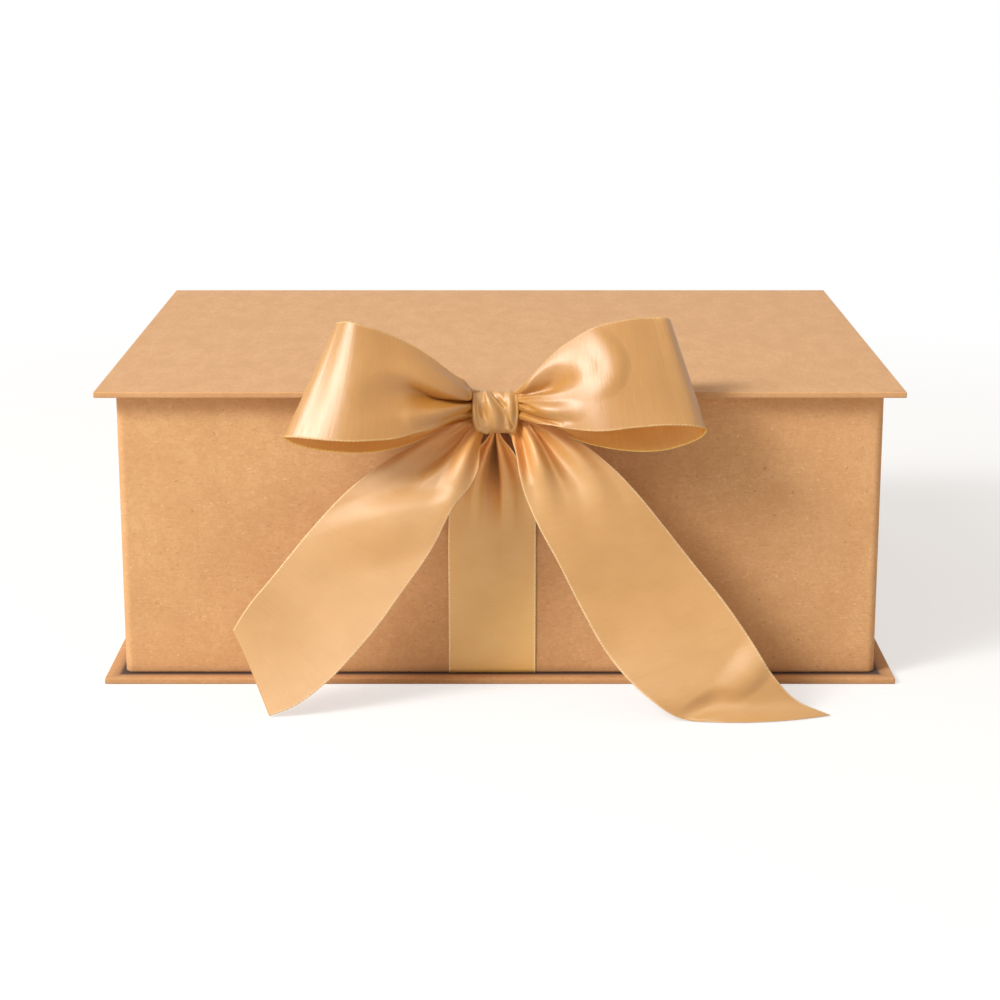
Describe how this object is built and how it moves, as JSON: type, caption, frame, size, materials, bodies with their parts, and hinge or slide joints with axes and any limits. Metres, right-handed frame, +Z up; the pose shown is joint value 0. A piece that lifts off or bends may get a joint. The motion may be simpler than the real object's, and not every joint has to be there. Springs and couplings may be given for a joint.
{
  "type": "book-style gift box",
  "caption": "Rigid kraft gift box whose lid and spine open like a book's cover over a tray, tied shut at the front with a satin bow.",
  "frame": {"origin": "centre of the case's underside, where the box rests on a table", "axes": "+X along the front towards its right-hand end seen from the front, +Y from the front back to the spine, +Z up"},
  "size_m": [0.3, 0.2841, 0.1434],
  "materials": {
    "kraft_paper": "matte kraft paper with short fibres",
    "lining_paper": "matte kraft paper with short fibres",
    "greyboard": "raw grey-brown board",
    "gummed_tape": "matte gummed paper tape",
    "satin": "soft satin sheen with stitched edges"
  },
  "bodies": {
    "base": {"base_board": "greyboard", "base_cover_paper": "kraft_paper", "lower_groove_paper": "kraft_paper", "lower_groove_lining": "lining_paper", "tray_floor_board": "greyboard", "tray_left_board": "greyboard", "tray_right_board": "greyboard", "tray_front_board": "greyboard", "tray_back_board": "greyboard", "tray_corner_tapes": "gummed_tape", "tray_wrap_paper": "kraft_paper", "tray_wall_lining": "lining_paper", "tray_floor_lining": "lining_paper", "front_ribbon": "satin", "bow_knot": "satin", "bow_loop_left": "satin", "bow_loop_right": "satin", "bow_tail_left": "satin", "bow_tail_right": "satin"},
    "spine": {"spine_board": "greyboard", "spine_cover_paper": "kraft_paper", "spine_lining": "lining_paper", "upper_groove_paper": "kraft_paper", "upper_groove_lining": "lining_paper"},
    "lid": {"lid_board": "greyboard", "lid_cover_paper": "kraft_paper", "lid_lining": "lining_paper", "lid_ribbon": "satin"}
  },
  "joints": [
    {"name": "spine_hinge", "type": "hinge", "parent": "base", "child": "spine", "pos_m": [0, 0.11936, 0.00064], "axis": [-1, 0, 0], "range_deg": [0, 90], "deforming": ["lower_groove_paper", "lower_groove_lining"]},
    {"name": "lid_hinge", "type": "hinge", "parent": "spine", "child": "lid", "pos_m": [0, 0.11936, 0.11241], "axis": [-1, 0, 0], "range_deg": [0, 90], "deforming": ["upper_groove_paper", "upper_groove_lining"]}
  ]
}
